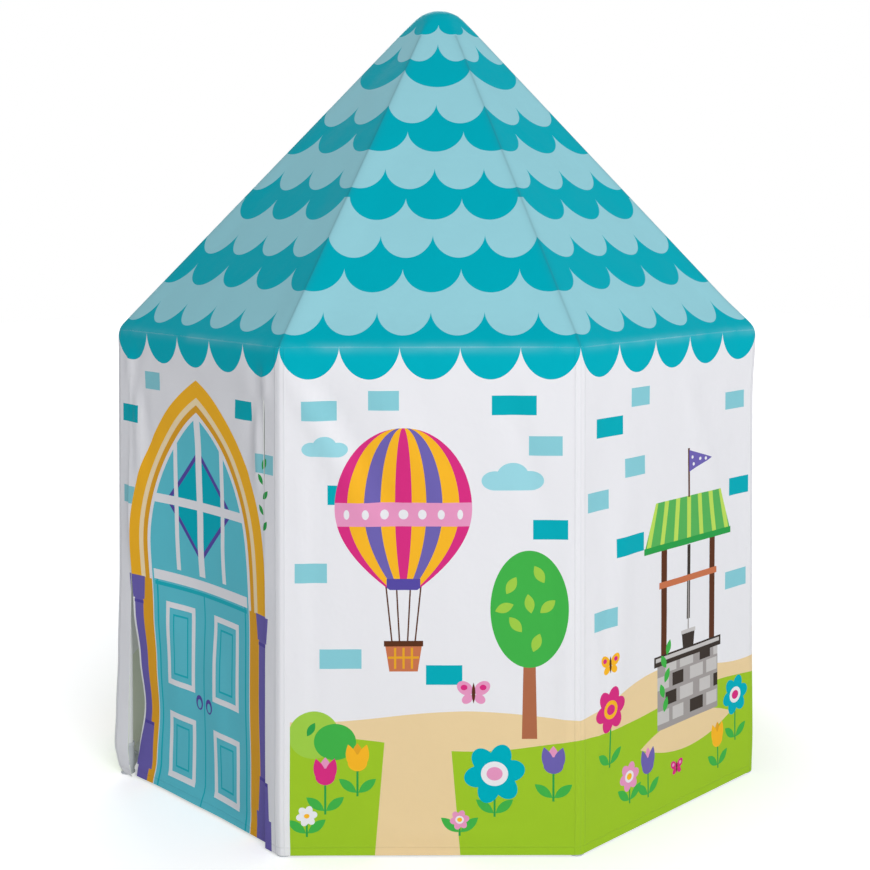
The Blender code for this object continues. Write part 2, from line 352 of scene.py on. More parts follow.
def hot_air_balloon(sheet, across, up):
    """An envelope in gores with a dotted band, over a basket on four ropes."""
    for side in (-1, 1):
        for shift, lean in ((21, 6), (8, 3)):
            sheet.stamp("umber", "box", across + shift * side, up - 148, 1.1, 44, -lean * side)
    envelope = sheet.stamp("magenta", "balloon", across, up, 98, 116)
    for ink, half_width in (("gold", 80), ("purple", 56), ("gold", 33), ("magenta", 12)):
        sheet.stamp(ink, "balloon", across, up, half_width, 117, within=envelope)
    band = sheet.stamp("pink", "box", across, up - 8, 110, 17, within=envelope)
    for index in range(-3, 4):
        sheet.stamp("white", "disc", across + 27 * index, up - 8, 7 - abs(index), 7, within=band)
    sheet.stamp("indigo", "box", across, up - 108, 24, 8, within=envelope)
    sheet.stamps(across, up, [
        ("brown", "taper", 0, -212, 27, 21, 180), ("umber", "box", 0, -193, 28, 4),
        *[("ochre", "box", shift, -214, 1.6, 15) for shift in (-12, 0, 12)],
        ("ochre", "box", 0, -213, 22, 1.6)])


def wishing_well(sheet, across, up):
    """A round stone well under a striped roof on two posts, with a bucket and a pennant."""
    sheet.stamps(across, up, [
        ("charcoal", "box", 0, 208, 4, 58), ("umber", "box", -62, 190, 7, 92),
        ("umber", "box", 62, 190, 7, 92), ("brown", "box", 0, 214, 74, 5),
        ("grey", "box", 0, 158, 1.5, 52), ("charcoal", "taper", 0, 118, 17, 16, 180),
        ("ash", "box", 0, 131, 18, 3)])
    wall = sheet.stamp("grey", "box", across, up + 45, 78, 52)
    for row, rise in enumerate((12, 38, 64, 88)):
        for index in range(4):
            shift = -66 + 44 * index + 22 * (row % 2) - 4 * (index % 2)
            ink = ("ash", "charcoal", "ash")[(row + 2 * index) % 3]
            half_width = 17 - 3 * ((row + index) % 2)
            sheet.stamp(ink, "box", across + shift, up + rise, half_width, 10, within=wall)
    sheet.stamps(across, up, [("charcoal", "box", 0, 99, 86, 8), ("ash", "box", 0, 101, 82, 3)])
    roof = sheet.stamp("green", "taper", across, up + 306, 112, 36)
    for index in range(-3, 4):
        sheet.stamp("lime", "box", across + 31 * index, up + 306, 5, 38, 5 * index, within=roof)
    sheet.stamps(across, up, [("fern", "box", 0, 272, 112, 5), ("umber", "box", 0, 378, 2.2, 38)])
    pennant = sheet.stamp("purple", "wedge", across + 29, up + 396, 17, 28, -90)
    for shift, rise in ((9, 5), (12, -6), (27, 1), (40, 0)):
        sheet.stamp("white", "disc", across + shift, up + 396 + rise, 2.6, 2.6, within=pennant)


def kite(sheet, across, up):
    sheet.stamp("umber", "box", across - 44, up - 108, 1, 62, -38)
    body = sheet.stamp("gold", "box", across, up, 46, 46, 45)
    sheet.stamps(across, up, [("magenta", "box", -50, 50, 50, 50), ("purple", "box", 50, -50, 50, 50),
                              ("teal", "box", 50, 50, 50, 50)], within=body)
    for index, ink in enumerate(("magenta", "gold", "teal")):
        knot = (across - 18 - 22 * index, up - 76 - 28 * index)
        sheet.stamps(*knot, [(ink, "wedge", 8 * side, 0, 7, 8, 90 * side) for side in (-1, 1)])


def picket_fence(sheet, top):
    """Pointed pickets on two rails, right along the wall."""
    for rail in (top - 30, top - 72):
        sheet.stamp("ochre", "box", 0, rail, 216, 5)
    pitch = half_wall / 9
    half_width = 0.0085
    point_slope = -1.4
    near = add(sheet.tree, "PINGPONG", [sheet.across, pitch])
    slim = add(sheet.tree, "LESS_THAN", [near, half_width])
    tip = add(sheet.tree, "MULTIPLY_ADD", [near, point_slope, top / 1000])
    low = add(sheet.tree, "LESS_THAN", [sheet.up, tip])
    sheet.lay("cream", add(sheet.tree, "MULTIPLY", [slim, low]))


def valance(sheet):
    """The scalloped border under the eave."""
    sheet.scallop_row("teal", 2000 * half_wall / 5, 0, 1000 * eave - 47, 47)


def margin(sheet):
    """The unprinted edge where the wrap starts, at the wall's left corner."""
    sheet.stamp("white", "box", -1000 * half_wall, 340, 15.5, 345)


# The designs, one to a wall, in millimetres from the wall's middle line and the floor

def balloon_garden(sheet):
    bricks(sheet, [(-158, 640, 25), (165, 590, 24), (-170, 408, 23), (-66, 655, 22), (-128, 285, 30)],
           [(-112, 520, 34), (120, 648, 32), (172, 470, 25), (20, 262, 26)])
    cloud(sheet, 118, 540, 46)
    cloud(sheet, -150, 585, 34)
    sheet.hill("sand", 196, 208, 5)
    sheet.stamp("trunk", "taper", 142, 236, 11, 66)
    sheet.stamp("tree", "disc", 142, 356, 56, 84)
    leaves(sheet, 142, 356, "leaf", 14, 7, [(-26, 34, 60), (14, 50, 120), (26, 4, 40), (-20, -22, 130),
                                            (-36, 2, 20), (10, -48, 70), (0, 8, 100)])
    sheet.hill("grass", 168, 156, -8)
    sheet.stamp("sand", "taper", -18, 84, 62, 92)
    hot_air_balloon(sheet, -38, 500)
    sheet.stamps(0, 0, [("leaf", "disc", -166, 176, 36, 34), ("tree", "disc", -136, 166, 30, 26),
                        ("fern", "leaf", -170, 184, 11, 5, 60)])
    tulips(sheet, (-150, 62, 46, "magenta", "pink"), (-104, 88, 40, "gold", "ochre"),
                  (176, 80, 44, "purple", "pink"))
    daisies(sheet, (92, 58, 62, 44, "teal", "white", "pink"),
                   (-176, 30, 30, 15, "white", "white", "gold"),
                   (42, 32, 22, 14, "pink", "white", "gold"))
    butterfly(sheet, 62, 236, 20, "pink", "magenta")
    margin(sheet)


def well_garden(sheet):
    bricks(sheet, [(-78, 648, 22), (-176, 505, 24), (-160, 330, 26), (164, 620, 26), (168, 330, 28),
                   (-92, 545, 24)], [(-150, 610, 30), (-104, 430, 33), (176, 480, 26)])
    sheet.hill("sand", 196, 226, -6)
    sheet.hill("grass", 168, 172, 6)
    sheet.stamp("sand", "leaf", 40, 116, 118, 26)
    wishing_well(sheet, 42, 140)
    leaves(sheet, 42, 140, "tree", 12, 6, [(-58, 30, 70), (-66, 52, 110), (-54, 74, 60), (-62, 96, 120),
                                           (-50, 116, 70)])
    daisies(sheet, (-150, 110, 86, 34, "magenta", "gold", "magenta"),
                   (168, 66, 74, 32, "teal", "white", "magenta"),
                   (-104, 44, 40, 22, "pink", "white", "gold"))
    tulips(sheet, (-60, 40, 40, "purple", "pink"), (120, 34, 38, "gold", "ochre"))
    butterfly(sheet, -150, 262, 17, "gold", "magenta")
    butterfly(sheet, 12, 66, 13, "magenta", "pink")


def kite_meadow(sheet):
    bricks(sheet, [(-165, 636, 25), (168, 600, 26), (30, 440, 24), (-60, 330, 28), (140, 520, 26)],
           [(-20, 650, 30), (-176, 470, 26), (176, 430, 24)])
    cloud(sheet, -20, 560, 50)
    sheet.hill("sand", 196, 214, 4)
    sheet.stamp("trunk", "taper", -112, 240, 11, 72)
    sheet.stamp("tree", "disc", -112, 378, 76, 84)
    leaves(sheet, -112, 378, "leaf", 14, 7, [
        (-38, 34, 50), (20, 46, 130), (40, 0, 30), (-18, -14, 120), (-50, -12, 20), (14, -52, 60),
        (-12, 22, 90), (28, -30, 140)])
    kite(sheet, 92, 520)
    picket_fence(sheet, 268)
    sheet.hill("grass", 168, 176, 5)
    daisies(sheet, (-160, 60, 70, 36, "gold", "white", "magenta"),
                   (42, 48, 66, 32, "magenta", "white", "gold"),
                   (170, 40, 54, 26, "teal", "white", "pink"))
    tulips(sheet, (-84, 46, 50, "magenta", "pink"), (-34, 66, 44, "purple", "pink"),
                  (112, 56, 46, "gold", "ochre"))
    butterfly(sheet, 20, 330, 18, "magenta", "pink")


# The printed door: an arch of two circles, springing from the door's sides
arch_half = 0.181
arch_spring = 0.380
arch_radius = 0.315


def arched_door(sheet):
    tree = sheet.tree
    bricks(sheet, [(-118, 655, 20), (182, 560, 20), (-182, 466, 16)], [(-178, 598, 22), (126, 632, 21)])
    leaves(sheet, 178, 0, "fern", 9, 4, [(4, 470, 60), (-6, 492, 130), (5, 515, 50), (-5, 537, 120),
                                         (3, 560, 70)])
    beside = add(tree, "ABSOLUTE", [sheet.across])
    beside = add(tree, "ADD", [beside, arch_radius - arch_half])
    above = add(tree, "SUBTRACT", [sheet.up, arch_spring])
    above = add(tree, "MAXIMUM", [above, 0.0])
    spot = add(tree, "CombineXYZ", [beside, above])
    reach = add(tree, "VectorMath", [spot], operation="LENGTH", out=1)
    depth = add(tree, "SUBTRACT", [arch_radius, reach])
    for ink, start in (("gold", 0), ("cream", 24), ("ochre", 34), ("white", 44), ("aqua", 51)):
        glass = add(tree, "GREATER_THAN", [depth, start / 1000])
        sheet.lay(ink, glass)

    # Lights in the arch: a diamond in the middle, and white bars; and under them the door's ground
    sheet.stamps(0, 0, [
        ("indigo", "box", 0, 470, 62, 62, 45), ("teal", "box", 0, 470, 55, 55, 45),
        ("white", "box", 0, 560, 8, 200), ("white", "box", -62, 486, 5, 125),
        ("white", "box", 62, 486, 5, 125), ("white", "box", 0, 470, 126, 7),
        ("white", "box", 0, 346, 126, 8), ("aqua", "box", 0, 166, 124, 172)], within=glass)

    # Two leaves with panels, and a ring on each
    for side in (-1, 1):
        sheet.stamp("lagoon", "box", 119 * side, 168, 2, 170)
        for up, high in ((240, 66), (78, 52)):
            for ink, half_width in (("white", 36), ("aqua", 27), ("lagoon", 18), ("aqua", 15)):
                sheet.stamp(ink, "box", 62 * side, up, half_width, high - 36 + half_width)
        sheet.stamp("indigo", "disc", 14 * side, 162, 9.5, 11.5)
        sheet.stamp("aqua", "disc", 14 * side, 160, 5.5, 7)
    sheet.stamps(0, 0, [("lagoon", "box", 0, 332, 124, 3), ("lagoon", "box", 0, 166, 1.6, 168)])

    # A column at each side, with a flared head and foot; the left one keeps clear of the slit
    for side, middle, foot in ((-1, 167, 162), (1, 170, 173)):
        for ink, shape, shift, *size in (
                ("ochre", "box", 145, 168, 13, 168), ("white", "box", 180, 160, 13, 170),
                ("purple", "box", middle, 165, 10, 168), ("purple", "taper", middle, 318, 18, 19, 180),
                ("purple", "taper", foot, 60, 20, 36), ("purple", "box", foot, 20, foot - 149, 26),
                ("indigo", "box", middle, 294, 11, 2.5), ("indigo", "box", foot, 96, 15, 2.5)):
            sheet.stamp(ink, shape, shift * side, *size)


def roof_scales(sheet):
    """Rows of scallops in two teals up the gore: width, shift off its middle line, and foot."""
    rows = [("ice", 78, 39, 20.3), ("teal", 87, 0, 100.8), ("ice", 79.2, 39.6, 166.8),
            ("teal", 87, 0, 243.0), ("ice", 78, 39, 307.2), ("teal", 90.5, 0, 388.6),
            ("ice", 79, 39.5, 452.2), ("teal", 110, 0, 538.0), ("ice", 62, 31, 601.2)]
    depth = 45.5
    for ink, width, shift, foot in rows:
        sheet.scallop_row(ink, width, shift, foot, depth)

    # Past the fourth row's last cusps, the next scallops would show as slivers along the ridges
    sheet.stamps(0, 264, [("ice", "box", side * 141.5, 0, 11, 24.5) for side in (-1, 1)])
    top_depth = 24
    sheet.scallop_row("teal", 46, 23, 669.8, top_depth)


# Materials

def new_material(name):
    material = bpy.data.materials.new(name)
    material.use_nodes = True
    return material, material.node_tree


# Indices of refraction, and how much of its shine the print's matt lacquer leaves
pvc_ior = 1.53
plastic_ior = 1.49
lacquer_shine = 0.02


def finish_shader(tree, colour, roughness, relief, ior=pvc_ior, specular=lacquer_shine):
    feed(tree.nodes["Principled BSDF"], {
        "Base Color": colour, "Roughness": roughness, "Normal": relief, "IOR": ior,
        "Specular IOR Level": specular})


def finish_vinyl(tree, colour, weld=None):
    """Calendered PVC: an emboss of 3 mm, drawn coarser than the real half millimetre so that it shows,
    over the soft dents that handling leaves; welds stand out as ribs."""
    place = add(tree, "TexCoord", out="Object")
    emboss = add(tree, "TexNoise", {"Vector": place, "Scale": 330.0, "Detail": 2.0})
    dents = add(tree, "TexNoise", {"Vector": place, "Scale": 19.0, "Detail": 3.0})
    relief = add(tree, "Bump", {"Strength": 0.12, "Distance": 0.0002, "Height": emboss})
    for strength, depth, height in ((0.45, 0.0035, dents), (0.7, 0.0006, weld)):
        if height:
            feeds = {"Strength": strength, "Distance": depth, "Height": height, "Normal": relief}
            relief = add(tree, "Bump", feeds)
    gloss = add(tree, "MapRange", [dents, 0.3, 0.7, 0.33, 0.44])
    finish_shader(tree, colour, gloss, relief)


def line_mask(tree, distance, width):
    """1 where a distance is 0, fading over a width."""
    near = add(tree, "DIVIDE", [distance, width])
    square = add(tree, "MULTIPLY", [near, near])
    negative = add(tree, "MULTIPLY", [square, -1.0])
    return add(tree, "EXPONENT", [negative])


def finish_print(sheet, weld, weld_shade, fold, fold_shade, eave_fold):
    """Lays painted shade along the welds and folds, and a painted highlight along the eave's fold, here
    more, there less."""
    tree = sheet.tree
    # Painted shade: the shade ink laid thinly over the weld and fold masks
    for mask, share in ((weld, weld_shade), (fold, fold_shade)):
        sheet.lay("shade", add(tree, "MULTIPLY", [mask, share]))
    # A painted highlight along the eave's fold: a thin line and a broad band of pure white, made patchy
    # by noise
    place = add(tree, "TexCoord", out="Object")
    patchy = add(tree, "TexNoise", {"Vector": place, "Scale": 16.0, "Detail": 2.0})
    off = add(tree, "SUBTRACT", [sheet.up, eave_fold])
    highlight_lines = [add(tree, "MULTIPLY", [line_mask(tree, off, width), strongest])
             for width, strongest in ((0.0013, 0.17), (0.0075, 0.07))]
    both = add(tree, "MAXIMUM", highlight_lines)
    strength = add(tree, "MapRange", [patchy, 0.35, 0.65, 0.15, 1.0])
    sheet.lay("painted_highlight", add(tree, "MULTIPLY", [both, strength]))
    finish_vinyl(tree, sheet.colour, weld)


def printed_wall(name, design):
    """PVC sheet with a printed wall on it. Welds run down beside each corner and along the hem."""
    material, tree = new_material(name)
    sheet = Print(tree, "white")
    design(sheet)
    valance(sheet)
    side = add(tree, "ABSOLUTE", [sheet.across])
    # Thin lines along the welds beside the corners and at the hem, and along each corner's fold: all
    # carry painted shade, and the welds also stand out as ribs
    weld_inset = 0.008
    weld_rise = 0.012
    side_weld = line_mask(tree, add(tree, "SUBTRACT", [side, half_wall - weld_inset]), 0.0011)
    hem_weld = line_mask(tree, add(tree, "SUBTRACT", [sheet.up, hem + weld_rise]), 0.0010)
    corner = line_mask(tree, add(tree, "SUBTRACT", [side, half_wall]), 0.0016)
    welds = add(tree, "MAXIMUM", [side_weld, hem_weld])
    finish_print(sheet, welds, 0.04, corner, 0.07, eave - 0.001)
    return material


def printed_roof():
    """The same PVC with rows of scales. Two gores are welded along each ridge, up to the cap's seam."""
    material, tree = new_material("printed PVC, roof scales")
    sheet = Print(tree, "teal")
    roof_scales(sheet)
    half = add(tree, "MULTIPLY_ADD", [sheet.up, -cos(slope) * tan_half, half_wall])
    side = add(tree, "ABSOLUTE", [sheet.across])
    off = add(tree, "SUBTRACT", [half, side])
    cap_seam = 0.668
    below_cap = add(tree, "LESS_THAN", [sheet.up, cap_seam])
    # The line along each ridge's weld and the soft band beside it carry painted shade; the weld line
    # also stands out as a rib
    weld, band = [add(tree, "MULTIPLY", [line_mask(tree, off, width), below_cap])
                  for width in (0.0022, 0.0085)]
    finish_print(sheet, weld, 0.22, band, 0.08, -0.001)
    return material


def vinyl_back(name, paper, over_grass):
    """The unprinted side of the sheet; the ground's ink shows through it faintly. The glow is the
    daylight that comes through the thin sheet, which its two opaque faces would stop."""
    material, tree = new_material(name)
    sheet = Print(tree, paper)
    grass_top = 0.17
    sheet.lay(over_grass, add(tree, "LESS_THAN", [sheet.up, grass_top]))
    finish_vinyl(tree, sheet.colour)
    glow = {"Emission Color": linear(inks[paper]), "Emission Strength": 0.10}
    feed(tree.nodes["Principled BSDF"], glow)
    return material


def moulded_plastic(name, colour, roughness):
    """Polypropylene or ABS from a die or a mould: even colour with a faint flow mottle of 3 cm, and a
    fine grain that breaks up the gloss."""
    material, tree = new_material(name)
    place = add(tree, "TexCoord", out="Object")
    mottle = add(tree, "TexNoise", {"Vector": place, "Scale": 34.0, "Detail": 2.0})
    grain = add(tree, "TexNoise", {"Vector": place, "Scale": 900.0, "Detail": 1.0})
    bright = tuple(min(c * 1.07, 1) for c in linear(colour)[:3]) + (1.0,)
    shade = add(tree, "Mix", {0: mottle, 6: linear(colour), 7: bright}, data_type="RGBA", out=2)
    gloss = add(tree, "MapRange", [grain, 0.3, 0.7, roughness - 0.05, roughness + 0.06])
    relief = add(tree, "Bump", {"Strength": 0.10, "Distance": 0.0002, "Height": grain})
    finish_shader(tree, shade, gloss, relief, plastic_ior, 0.5)
    return material


door_print = printed_wall("printed PVC, arched door", arched_door)
garden_prints = [printed_wall("printed PVC, balloon garden", balloon_garden),
                 printed_wall("printed PVC, well garden", well_garden),
                 printed_wall("printed PVC, kite meadow", kite_meadow)]
roof_print = printed_roof()
wall_back = vinyl_back("PVC back, walls", "wall back", "grass back")
roof_back = vinyl_back("PVC back, roof", "roof back", "roof back")
tube_plastic = moulded_plastic("extruded white PP tube", "#DEDFDF", 0.34)
connector_plastic = moulded_plastic("moulded grey ABS", "#B9BDC2", 0.46)
wall_prints = [door_print] + (garden_prints * 3)[:sides - 1]


# The shape of the cover

def fold_radius(share):
    """How wide the eave is bent: round the thin rail, or over the elbow near a corner."""
    from_corner = half_wall * (1 - abs(share))
    return elbow_fold + (rail_fold - elbow_fold) * smooth(0, elbow_reach, from_corner)


def roof_height(out):
    """Height of the roof at an apothem: a cone of flat gores under a shallow dome."""
    cone = ridge_apex - out * tan(slope)
    rim = ridge_apex - dome_radius * tan(slope)
    dome = crown - (crown - rim) * (out / dome_radius) ** 2
    near = max(shoulder * 2 - abs(cone - dome), 0) / (shoulder * 2)
    return min(cone, dome) - near * near * shoulder


def profile(along, share):
    """Apothem and height at a distance along the sheet from the eave, down the wall or up the roof."""
    radius = fold_radius(share)
    reach = radius * tan(slope_turn / 2)
    if along <= -reach:
        return apothem, eave + along
    if along < reach:
        turn = slope_turn * (along + reach) / (2 * reach)
        return apothem - radius * (1 - cos(turn)), eave - reach + radius * sin(turn)
    return apothem - along * cos(slope), eave + along * sin(slope)


def section(out, share, bend):
    """A point of the rounded octagon in a wall's own frame: outwards, and across from its middle."""
    bend = min(bend, out)
    half = out * tan_half
    corner = bend * tan_half
    across = abs(share) * half
    if across <= half - corner or corner == 0:
        return out, share * half
    turn = (across - half + corner) / corner * half_turn
    far = half - corner + bend * sin(turn)
    return out - bend + bend * cos(turn), copysign(far, share)


def wall_angle(wall):
    return -pi / 2 + 2 * half_turn * wall


def placed(wall, out, across, height):
    angle = wall_angle(wall)
    return Vector((out * cos(angle) - across * sin(angle),
                   out * sin(angle) + across * cos(angle), height))


def ripples(wall, across, height, waves):
    """Slow random waves over the sheet, the same on each run. A wave is its rise and its length across,
    in millimetres, that length as a share of its length up, and its seed."""
    total = 0
    for rise, length, share, seed in waves:
        spot = (1000 * across / length, 1000 * height * share / length, seed + 7.3 * wall)
        total += rise * noise.noise(Vector(spot)) / 1000
    return total


def folds(creases, across, height):
    """How far soft ridges raise a point of the sheet: each is highest on a line, and fades to both sides
    and to its ends."""
    raised = 0
    for crease in creases:
        *ends, width, rise = [number / 1000 for number in crease]
        start = Vector(ends[:2])
        line = Vector(ends[2:]) - start
        away = Vector((across, height)) - start
        along = away.dot(line) / line.length_squared
        if 0 <= along <= 1:
            off = (away - line * along).length
            raised += rise * smooth(0, 0.25, along) * smooth(1, 0.6, along) * exp(-(off / width) ** 2)
    return raised


wall_waves = ((1.9, 160, 1, 3.1), (1.0, 45, 0.35, 11.7))
roof_waves = ((1.8, 140, 1, 29.0), (0.9, 50, 0.4, 41.0))
door_waves = ((2.2, 130, 1, 71.0),)

# Creases of each wall, in millimetres from its middle line and the floor: where they start and end,
# across and up, then how wide they are, and how far they stand out
wall_creases = {
    0: [(184, 705, 184, 640, 7, 4), (-182, 700, -181, 645, 7, 2.8), (150, 715, 176, 640, 10, -2.2),
        (-150, 715, -172, 645, 10, -1.8)],
    1: [(-212, 710, -55, 430, 15, 6), (-178, 720, -20, 430, 14, -5), (-100, 710, 60, 440, 16, 3.6),
        (-186, 660, -180, 30, 10, 1.2), (-168, 600, -160, 60, 12, -1), (196, 500, 190, 50, 10, 1.6),
        (100, 700, 170, 460, 14, -3.4), (-100, 35, 170, 30, 12, 2.6)],
    2: [(-150, 80, -100, 640, 26, 3.4), (20, 700, 120, 450, 18, 3.6), (-180, 400, -175, 50, 11, 1.8)],
    3: [(180, 710, 80, 460, 20, 3.4), (-120, 300, -170, 50, 18, -2.6)],
    4: [(170, 700, 50, 400, 22, 3.6), (-170, 600, -160, 100, 14, 2.2)],
    5: [(-180, 700, -60, 480, 18, 3.4), (20, 60, 150, 50, 12, 2.4)],
    6: [(-170, 690, -20, 440, 20, 3.6), (180, 500, 180, 50, 12, 2)],
    7: [(160, 700, 20, 420, 20, 3.4), (-150, 500, -120, 120, 22, -2.4)],
}

# Corners whose seam stands off its post: how far, by height, in millimetres
corner_flare = {
    7: [(0, -4), (20, 4), (50, 8.6), (105, 6.2), (200, 2.8), (340, 0)],
    0: [(0, 0.5), (60, 2.4), (200, 1), (400, 0)],
    2: [(0, 0), (60, 1.4), (250, 0), (620, 0), (722, 4), (742, 4), (800, 0)],
    3: [(0, -1), (50, 3.6), (220, 0)],
    5: [(0, 1), (90, 3.2), (250, 0)],
}
plain_flare = [(0, 0), (60, 1.4), (250, 0)]


def flare(wall, share, height):
    """The free hem pushed out at a corner, as a move in the wall's own frame: outwards and across."""
    corner = wall if share > 0 else (wall - 1) % sides
    from_corner = half_wall * (1 - abs(share))
    flare_width = 0.075
    swell = between(corner_flare.get(corner, plain_flare), height) * smooth(flare_width, 0, from_corner)
    return swell, copysign(swell * tan_half, share)


# How far the door wall's middle line and the door's edges hang inwards, by height, in millimetres
door_middle = [(0, 10), (35, 20), (120, 21), (280, 21), (430, 13), (550, 10), (640, 5), (732, 0)]
door_left = [(0, 8), (50, 13), (120, 19), (200, 12), (280, 3), (430, -5), (550, -2), (655, 0)]
door_right = [(0, 9), (50, 6), (280, 4), (430, 3), (655, 0)]


def door_sag(across, height):
    """How far the door wall's sheet hangs inwards."""
    share = min(abs(across) / slit_out, 1)
    edge = between(door_left if across < 0 else door_right, height)
    rounded = share ** 1.7
    return between(door_middle, height) * (1 - rounded) + edge * rounded


# How far each sheet sinks between what holds it, how near to a post, rail or rafter it is tight, and
# the share of its waves that a rail leaves
wall_sink = 0.0012
roof_sink = 0.0026
post_hold = 0.05
rail_hold = 0.10
rafter_hold = 0.06
rail_leaves = 0.15
seam_hold = 0.012


def wall_give(wall, share, height):
    """How far a wall stands out from its flat plane."""
    across = share * half_wall
    from_post = half_wall - abs(across)
    free = smooth(0, rail_hold, height) * smooth(0, rail_hold, eave - height)
    tight = smooth(0, post_hold, from_post) * (rail_leaves + (1 - rail_leaves) * free)
    give = tight * (ripples(wall, across, height, wall_waves) - wall_sink)
    give += folds(wall_creases[wall], across, height) * smooth(0, seam_hold, from_post)
    if wall == 0 and height >= hinge_height - 1e-6:
        give -= door_sag(across, height) * smooth(half_wall, slit_out, abs(across))
    return give


def roof_give(wall, share, along):
    """How far a gore stands out from its flat plane. It sinks less where it is narrow."""
    half = max(apothem - along * cos(slope), 0) * tan_half
    across = share * half
    tight = smooth(0, rafter_hold, half - abs(across)) * smooth(0, rafter_hold, along)
    sink = roof_sink * smooth(0.02, 0.15, half)
    return tight * (ripples(wall, across, along, roof_waves) - sink)


def cover_columns():
    """Shares of a half wall, closer together towards the corner, with one on the doorway's slit."""
    steps = 20
    crowding = 1.8
    shares = [1 - (1 - k / steps) ** crowding for k in range(steps + 1)]
    slit = slit_out / half_wall
    nearest = min(range(len(shares)), key=lambda k: abs(shares[k] - slit))
    shares[nearest] = slit
    return [-s for s in reversed(shares[1:])] + shares


def spaced(start, end, spacing):
    count = round((end - start) / spacing)
    return [start + (end - start) * k / count for k in range(count + 1)]


# Distances from the eave at which rows lie close together, over the bend
fold_rows = [0.0012, 0.0024, 0.0038, 0.0056, 0.0080, 0.0110, 0.0145, 0.020, 0.028]


def wall_rows():
    """Distances along the sheet from the eave down to the hem, as negative numbers, from the hem up."""
    rows = spaced(hem - eave, hinge_height - eave, 0.010)
    rows += spaced(hinge_height - eave, -fold_rows[-1], 0.008)[1:]
    return rows + [-r for r in reversed(fold_rows[:-1])] + [0.0]


def sheet_grid(wall, columns, rows, place):
    """One wall's part of a sheet: a grid whose points and print coordinates place() gives."""
    bm = bmesh.new()
    bmesh.ops.create_grid(bm, x_segments=len(columns) - 1, y_segments=len(rows) - 1, size=1)
    layer = bm.loops.layers.uv.new("print")
    spots = {}
    for vert in bm.verts:
        column = columns[round((vert.co.x + 1) / 2 * (len(columns) - 1))]
        row = rows[round((vert.co.y + 1) / 2 * (len(rows) - 1))]
        vert.co, spots[vert] = place(wall, column, row)
    for face in bm.faces:
        face.material_index = wall
        face.smooth = True
        for loop in face.loops:
            loop[layer].uv = spots[loop.vert]
    return bm


def made_object(name, bm, materials=()):
    """Makes a finished bmesh into an object in the scene."""
    mesh = bpy.data.meshes.new(name)
    bm.to_mesh(mesh)
    bm.free()
    for material in materials:
        mesh.materials.append(material)
    return placed_object(name, mesh)


def put_together(name, parts):
    """One bmesh that holds all the parts."""
    whole = bmesh.new()
    for bm in parts:
        mesh = bpy.data.meshes.new(name)
        bm.to_mesh(mesh)
        bm.free()
        whole.from_mesh(mesh)
        bpy.data.meshes.remove(mesh)
    return whole


def sewn(name, grids, prints, back):
    """Welds the grids of a sheet into one mesh object, and gives it its thickness inwards. The slots
    past the prints hold the plain back."""
    whole = put_together(name, grids)
    bmesh.ops.remove_doubles(whole, verts=whole.verts, dist=1e-5)
    bmesh.ops.recalc_face_normals(whole, faces=whole.faces)
    for edge in whole.edges:
        edge.smooth = not edge.is_boundary
    sheet = made_object(name, whole, prints + [back] * len(prints))
    solidify = sheet.modifiers.new("Thickness", "SOLIDIFY")
    solidify.thickness = sheet_thickness
    solidify.offset = -1
    solidify.use_even_offset = True
    solidify.material_offset = len(prints)
    solidify.material_offset_rim = len(prints)
    return sheet


def wall_place(wall, share, along):
    out, height = profile(along, share)
    depth, across = section(out, share, post_bend)
    outward, sideways = flare(wall, share, height)
    give = wall_give(wall, share, height) + outward
    return placed(wall, depth + give, across + sideways, height), (share * half_wall, eave + along)


# Up the gores the sheet is flat as far as the cap, and the cap's own sheet is this long to the crown.
# The ridges fade between two radii, and the cap is round inside the smaller one.
cap_radius = 0.062
cap_reach = 0.074
ridge_radius = 0.066
round_radius = 0.026
roof_top = (apothem - cap_radius) / cos(slope)
roof_end = roof_top + cap_reach


def roof_place(wall, share, along):
    if along <= roof_top:
        out, height = profile(along, share)
        rise = roof_give(wall, share, along)
        out += rise * sin(slope)
        height += rise * cos(slope)
        outward, sideways = flare(wall, share, eave + along)
    else:
        out = cap_radius * (1 - (along - roof_top) / (roof_end - roof_top))
        height = roof_height(out)
        outward, sideways = 0, 0
    bend = ridge_bend + max(0, out - ridge_bend) * smooth(ridge_radius, round_radius, out)
    depth, across = section(out, share, bend)
    return placed(wall, depth + outward, across + sideways, height), (across, along)


def roof_rows():
    rows = [0.0] + fold_rows[:-1]
    rows += spaced(fold_rows[-1], roof_top, 0.014)
    return rows + spaced(roof_top, roof_end, 0.0040)[1:]


columns = cover_columns()
wall_grids = []
for wall in range(sides):
    bm = sheet_grid(wall, columns, wall_rows(), wall_place)
    if wall == 0:
        doorway = [face for face in bm.faces
                   if face.calc_center_median().z < hinge_height
                   and abs(face.calc_center_median().x) < slit_out]
        bmesh.ops.delete(bm, geom=doorway, context="FACES")
    wall_grids.append(bm)
wall_cover = sewn("wall_cover", wall_grids, wall_prints, wall_back)
roof_grids = [sheet_grid(wall, columns, roof_rows(), roof_place) for wall in range(sides)]
roof_cover = sewn("roof_cover", roof_grids, [roof_print] * sides, roof_back)

# The door's own creases, in the same way
door_creases = [(-163, 655, -150, 460, 9, 3), (166, 655, 160, 500, 9, 3.4),
                (-146, 655, -125, 500, 10, -2.2), (148, 655, 138, 520, 10, -2.4),
                (20, 300, 50, 20, 30, 3), (-90, 340, -60, 40, 26, 2.6)]
door_gap = 0.00002
door_foot = 0.005
door_clearance = 0.0005
door_waist = 0.003
curl_reach = 0.010
curl_height = 0.125
curl_spread = 0.085


